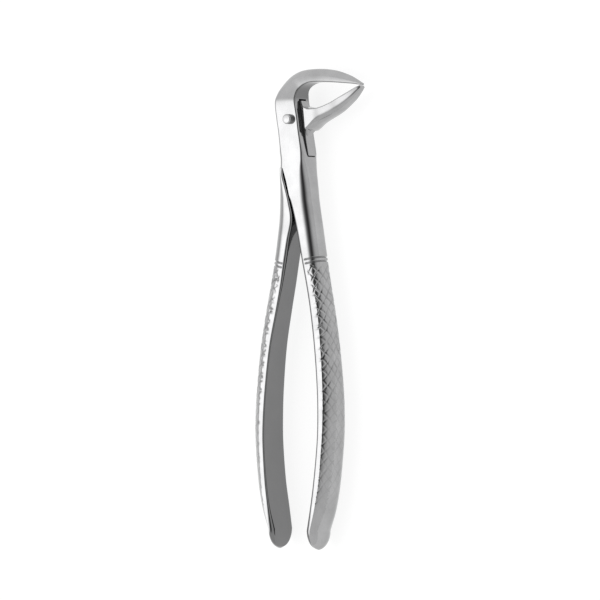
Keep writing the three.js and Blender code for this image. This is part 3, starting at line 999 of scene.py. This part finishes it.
class FORCEPS_OT_tongue_arm(bpy.types.Operator):
    """Build the arm with the tongue, the lower beak and the left handle"""

    bl_idname = "forceps.tongue_arm"
    bl_label = "Tongue arm"

    def execute(self, context):
        finish, grip = context.scene.forceps_finish, context.scene.forceps_grip
        satin, joint_shade = shared_steel(finish), shared_recess_shade(finish)
        handle = stations(TONGUE_HANDLE, [(-53.7, 0.2), (-49.5, 0.1), (-16, 0.55)])
        arm = loft("tongue_arm_steel", [*nose_stations(handle[0]), *handle], satin)
        cut_grip(arm, grip, TONGUE_RING, grip.seed + 5, TONGUE_BITE, satin)
        # the ledge and the bore leave their walls in the dark recess steel, as painted shade in the joint
        ledge = disc("ledge", LEDGE_R + LEDGE_GAP, CUTTER_HALF, joint_shade, 360)
        combine(arm, ledge, "DIFFERENCE")
        beak = loft("beak", stations(LOWER_BEAK, [(26.5, 0.3)]), satin, inner_shade=0.0)
        # the root blends the beak's full height into the slot's, and the web stiffens its corner
        full = LOWER_BEAK[0][5]
        wide = [(6.1, 3.9), (6.8, -2.4), (7.0, -2.4), (7.2, 3.4)]
        narrow = [(4.6, 4.6), (6.35, -3.0), (8.4, -2.9), (8.4, 3.2)]
        root = stack("root", [(wide, -full), (narrow, -SLOT_HALF), (narrow, SLOT_HALF), (wide, full)], satin)
        combine(beak, root, "UNION")
        outer = TONGUE_HALF - 0.1
        face = [(6.0, -3.5), (7.6, -2.4), (5.0, -2.4), (5.0, -6.2)]
        middle = [(6.5, -4.9), (8.4, -3.1), (5.0, -2.4), (5.0, -6.9)]
        web = stack("web", [(face, -outer), (middle, -1.1), (middle, 1.1), (face, outer)], satin)
        combine(beak, web, "UNION")
        tongue = stack("tongue", chamfered(tongue_outline(), TONGUE_HALF, 0.2), satin)
        # the tongue's flat faces take the dark recess steel, as painted shade under the slot's cheeks
        paint_flats(tongue, TONGUE_HALF * MM, joint_shade)
        combine(beak, tongue, "UNION")
        combine(arm, beak, "UNION")
        combine(arm, disc("bore", RIVET_R + 2 * BORE_GAP, CUTTER_HALF, joint_shade), "DIFFERENCE")
        clear_marks(arm, ("cut", "inner"), -20)
        smooth(arm, ARM_CREASE)
        finish_piece(arm, "tongue_arm", "tongue_arm")
        return {"FINISHED"}


class FORCEPS_OT_pivot_rivet(bpy.types.Operator):
    """Build the rivet that joins the two arms"""

    bl_idname = "forceps.pivot_rivet"
    bl_label = "Pivot rivet"

    def execute(self, context):
        finish = context.scene.forceps_finish
        metal = steel("rivet_steel", tuple(finish.rivet_colour), 0.2, 1600.0, 0.5, 0.12)
        radius, edge = RIVET_R, finish.rivet_edge / MM
        reach = (RIVET_HIGH.z - RIVET_LOW.z) / 2 / MM
        dome = 0.12
        rings = [(radius * 0.03, reach), (radius * 0.35, reach - dome * 0.16), (radius - edge, reach - dome)]
        for k in range(1, 9):
            angle = k / 8 * math.pi / 2
            out = radius - edge + edge * math.sin(angle)
            rings.append((out, reach - dome - edge + edge * math.cos(angle)))
        rings += [(radius, 4.0), (radius, 0.0)]
        rings += [(r, -z) for r, z in reversed(rings[:-1])]
        turn = np.linspace(0, 2 * math.pi, ROUND_SIDES, endpoint=False)
        points = [(r * math.cos(a) * MM, r * math.sin(a) * MM, MID + z * MM) for r, z in rings for a in turn]
        last = len(points) - ROUND_SIDES
        faces = []
        for start in range(0, last, ROUND_SIDES):
            below = start + ROUND_SIDES
            for i in range(ROUND_SIDES):
                j = (i + 1) % ROUND_SIDES
                faces.append((start + i, below + i, below + j, start + j))
        faces.append(tuple(range(ROUND_SIDES)))
        faces.append(tuple(range(len(points) - 1, last - 1, -1)))
        mesh = bpy.data.meshes.new("pivot_rivet_steel")
        mesh.from_pydata(points, [], faces)
        rivet = place("pivot_rivet_steel", mesh, metal)
        smooth(rivet, RIVET_CREASE)
        finish_piece(rivet, "box_arm", "pivot_rivet")
        return {"FINISHED"}


class FORCEPS_OT_stage(bpy.types.Operator):
    """Set the floor, the studio light and the camera"""

    bl_idname = "forceps.stage"
    bl_label = "Stage"

    def execute(self, context):
        scene, stage = context.scene, context.scene.forceps_stage
        self.floor(stage)
        self.light(scene, stage)
        self.camera(scene, stage)
        scene.view_settings.view_transform = "Standard"
        return {"FINISHED"}

    def floor(self, stage):
        made = bpy.data.materials.new("floor_paper")
        made.use_nodes = True
        shader = made.node_tree.nodes["Principled BSDF"]
        shader.inputs["Base Color"].default_value = (*stage.floor_colour, 1)
        shader.inputs["Roughness"].default_value = 0.9
        shader.inputs["Specular IOR Level"].default_value = 0.1
        shader.inputs["Emission Color"].default_value = (1, 1, 1, 1)
        shader.inputs["Emission Strength"].default_value = stage.floor_glow
        half, low = 3.0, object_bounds()[0][2]
        mesh = bpy.data.meshes.new("floor")
        corners = [(-half, -half, low), (half, -half, low), (half, half, low), (-half, half, low)]
        mesh.from_pydata(corners, [], [(0, 1, 2, 3)])
        place("floor", mesh, made)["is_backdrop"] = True

    def light(self, scene, stage):
        """A room whose light depends on the bearing round the tool's length.

        It has a softbox on the left, a dark gap overhead and plain walls, also at both ends.
        """
        world = bpy.data.worlds.new("studio")
        scene.world = world
        world.use_nodes = True
        world.node_tree.nodes.clear()
        n = Nodes(world.node_tree)
        towards = n.add("ShaderNodeTexCoord").outputs["Generated"]
        parts = n.add("ShaderNodeSeparateXYZ", Vector=towards).outputs
        bearing = n.math("ARCTAN2", parts["X"], parts["Z"])
        turn = n.math("ADD", n.math("DIVIDE", bearing, 2 * math.pi), 0.5)
        band = n.add("ShaderNodeValToRGB", Fac=turn).outputs[0]
        ramp = band.node.color_ramp
        for degrees, share in STUDIO:
            if (degrees, share) in (STUDIO[0], STUDIO[-1]):
                stop = ramp.elements[0 if degrees < 0 else -1]
                stop.position = degrees / 360 + 0.5
            else:
                stop = ramp.elements.new(degrees / 360 + 0.5)
            stop.color = (share, share, share, 1)
        level = n.math("MULTIPLY", band, stage.softbox)
        # the wall past the head starts later over the dark gap than over the softbox
        over = n.ramp(bearing, math.radians(-18), math.radians(-4), 0.0, 0.28)
        head_end = n.ramp(n.math("SUBTRACT", parts["Y"], over), 0.02, 0.42)
        level = n.blend(head_end, level, stage.room * 1.15)
        handle_end = n.ramp(parts["Y"], -0.12, -0.5)
        level = n.blend(handle_end, level, stage.room)
        sky = n.add("ShaderNodeBackground", Strength=level)
        sky.inputs["Color"].default_value = (1, 1, 1, 1)
        n.add("ShaderNodeOutputWorld", Surface=sky.outputs[0])

    def camera(self, scene, stage):
        data = bpy.data.cameras.new("camera")
        data.sensor_width = 36.0
        data.lens = 36.0 * stage.distance / stage.width
        data.clip_start, data.clip_end = 0.01, 20.0
        camera = bpy.data.objects.new("camera", data)
        scene.collection.objects.link(camera)
        target = Vector((0.00147, -0.064, MID))
        away = Vector((math.sin(stage.tilt), 0, math.cos(stage.tilt)))
        camera.location = target + away * stage.distance
        camera.rotation_euler = (0, stage.tilt, 0)
        scene.camera = camera


class FORCEPS_PT_panel(bpy.types.Panel):
    """The forceps in the sidebar"""

    bl_idname = "FORCEPS_PT_panel"
    bl_label = "Extraction Forceps"
    bl_space_type = "VIEW_3D"
    bl_region_type = "UI"
    bl_category = "Forceps"

    def draw(self, context):
        layout, scene = self.layout, context.scene
        for settings in (scene.forceps_grip, scene.forceps_finish, scene.forceps_stage):
            box = layout.box()
            for key in settings.bl_rna.properties.keys():
                if key not in {"rna_type", "name"}:
                    box.prop(settings, key)
        for operator in OPERATORS:
            layout.operator(operator.bl_idname)


SETTINGS = (ForcepsGrip, ForcepsFinish, ForcepsStage)
OPERATORS = (FORCEPS_OT_box_arm, FORCEPS_OT_tongue_arm, FORCEPS_OT_pivot_rivet, FORCEPS_OT_stage)


def register():
    for kind in (*SETTINGS, *OPERATORS, FORCEPS_PT_panel):
        bpy.utils.register_class(kind)
    bpy.types.Scene.forceps_grip = PointerProperty(type=ForcepsGrip)
    bpy.types.Scene.forceps_finish = PointerProperty(type=ForcepsFinish)
    bpy.types.Scene.forceps_stage = PointerProperty(type=ForcepsStage)


def unregister():
    del bpy.types.Scene.forceps_stage
    del bpy.types.Scene.forceps_finish
    del bpy.types.Scene.forceps_grip
    for kind in reversed((*SETTINGS, *OPERATORS, FORCEPS_PT_panel)):
        bpy.utils.unregister_class(kind)


def main():
    register()
    bpy.ops.forceps.box_arm()
    bpy.ops.forceps.tongue_arm()
    bpy.ops.forceps.pivot_rivet()
    bpy.ops.forceps.stage()


if __name__ == "__main__":
    main()
